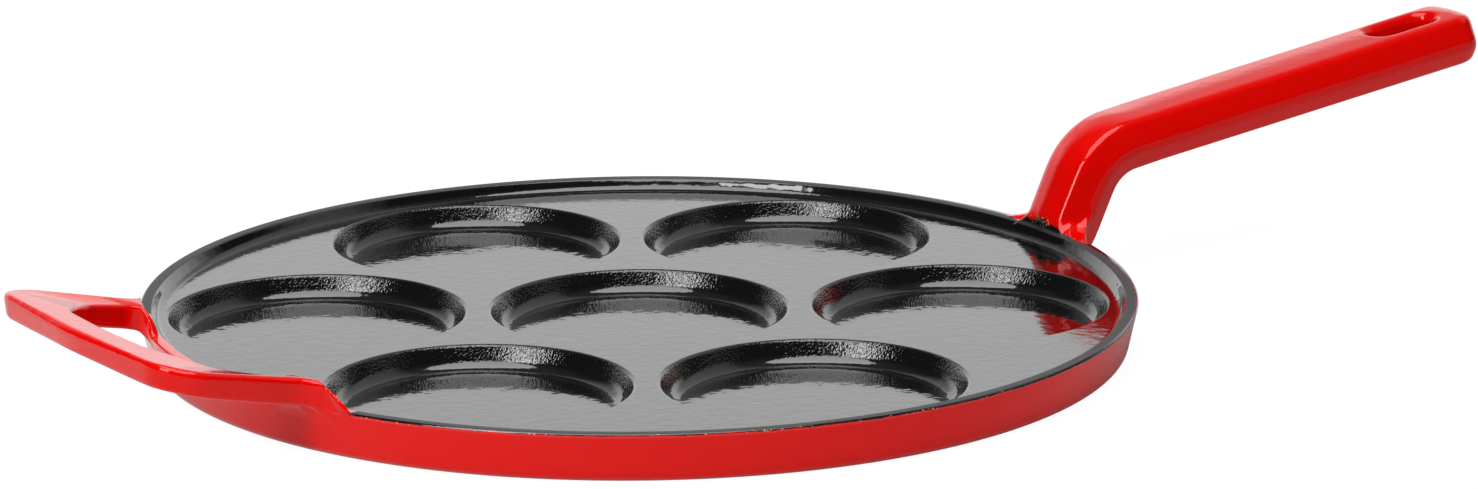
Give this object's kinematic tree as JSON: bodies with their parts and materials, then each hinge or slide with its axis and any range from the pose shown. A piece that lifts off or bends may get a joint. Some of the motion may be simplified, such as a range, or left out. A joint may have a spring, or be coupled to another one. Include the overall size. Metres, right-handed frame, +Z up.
{
  "type": "pancake pan",
  "caption": "Round enamelled cast-iron pan with shallow round wells, a cranked long handle with a hanging slot, and a flat helper handle.",
  "frame": {"origin": "middle of the flat underside, on the surface that the pan stands on", "axes": "+X along the long handle, +Z up, square to the flat underside"},
  "size_m": [0.4471, 0.265, 0.0577],
  "materials": {
    "cast_iron": "sand-cast, under the enamel",
    "black_enamel": "glossy vitreous enamel",
    "red_enamel": "glossy vitreous enamel"
  },
  "bodies": {
    "root": {"disc_casting": "cast_iron", "long_handle_casting": "cast_iron", "helper_handle_casting": "cast_iron", "cooking_surface_enamel": "black_enamel", "wall_enamel": "red_enamel", "base_enamel": "red_enamel", "long_handle_enamel": "red_enamel", "helper_handle_enamel": "red_enamel"}
  },
  "joints": []
}
